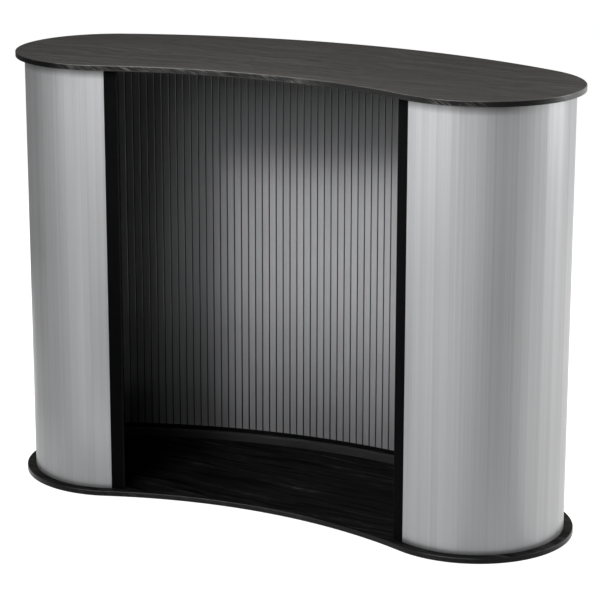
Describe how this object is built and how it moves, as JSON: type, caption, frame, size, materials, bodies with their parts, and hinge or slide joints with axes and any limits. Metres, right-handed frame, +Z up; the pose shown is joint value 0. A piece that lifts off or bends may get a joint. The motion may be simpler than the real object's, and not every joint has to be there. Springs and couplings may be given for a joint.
{
  "type": "exhibition counter",
  "caption": "Kidney-shaped free-standing exhibition counter: black wood-grain worktop and base held apart by a silver slatted wrap, open on the concave operator side.",
  "frame": {"origin": "on the floor, under the middle of the counter's box", "axes": "+X along the counter to the operator's right, +Y towards the convex customer side, +Z up"},
  "size_m": [1.354, 0.5388, 1],
  "materials": {
    "board": "black wood-grain laminate, satin",
    "edging": "black plastic edging, satin",
    "facing": "silver, satin metallic look",
    "slat": "grey, satin",
    "binding": "black woven webbing",
    "tape": "black hook-and-loop tape",
    "rail": "black plastic strip, satin",
    "screw": "black zinc"
  },
  "bodies": {
    "base": {"base_board": "board", "base_edging": "edging", "base_rail_left": "rail", "base_rail_right": "rail", "base_hook_tape": "tape", "base_rail_screw_1": "screw", "base_rail_screw_2": "screw", "base_rail_screw_3": "screw", "base_rail_screw_4": "screw", "base_rail_screw_5": "screw", "base_rail_screw_6": "screw", "base_rail_screw_7": "screw", "base_rail_screw_8": "screw"},
    "wrap": {"wrap_slats": "slat", "wrap_facing": "facing", "wrap_loop_tape_lower": "tape", "wrap_loop_tape_upper": "tape"},
    "left_end": {"left_end_slats": "slat", "left_end_facing": "facing", "left_end_binding": "binding", "left_end_loop_tape_lower": "tape", "left_end_loop_tape_upper": "tape"},
    "right_end": {"right_end_slats": "slat", "right_end_facing": "facing", "right_end_binding": "binding", "right_end_loop_tape_lower": "tape", "right_end_loop_tape_upper": "tape"},
    "worktop": {"worktop_board": "board", "worktop_edging": "edging", "worktop_rail_left": "rail", "worktop_rail_right": "rail", "worktop_hook_tape": "tape", "worktop_rail_screw_1": "screw", "worktop_rail_screw_2": "screw", "worktop_rail_screw_3": "screw", "worktop_rail_screw_4": "screw", "worktop_rail_screw_5": "screw", "worktop_rail_screw_6": "screw", "worktop_rail_screw_7": "screw", "worktop_rail_screw_8": "screw"}
  },
  "joints": [
    {"name": "wrap_lift", "type": "slide", "parent": "base", "child": "wrap", "axis": [0, 0, 1], "range_m": [0, 0.1]},
    {"name": "worktop_lift", "type": "slide", "parent": "wrap", "child": "worktop", "axis": [0, 0, 1], "range_m": [0, 0.1]},
    {"name": "left_end_peel", "type": "hinge", "parent": "wrap", "child": "left_end", "pos_m": [-0.4415, -0.2485, 0.5], "axis": [0, 0, -1], "range_deg": [0, 40]},
    {"name": "right_end_peel", "type": "hinge", "parent": "wrap", "child": "right_end", "pos_m": [0.4415, -0.2485, 0.5], "axis": [0, 0, 1], "range_deg": [0, 40]}
  ]
}
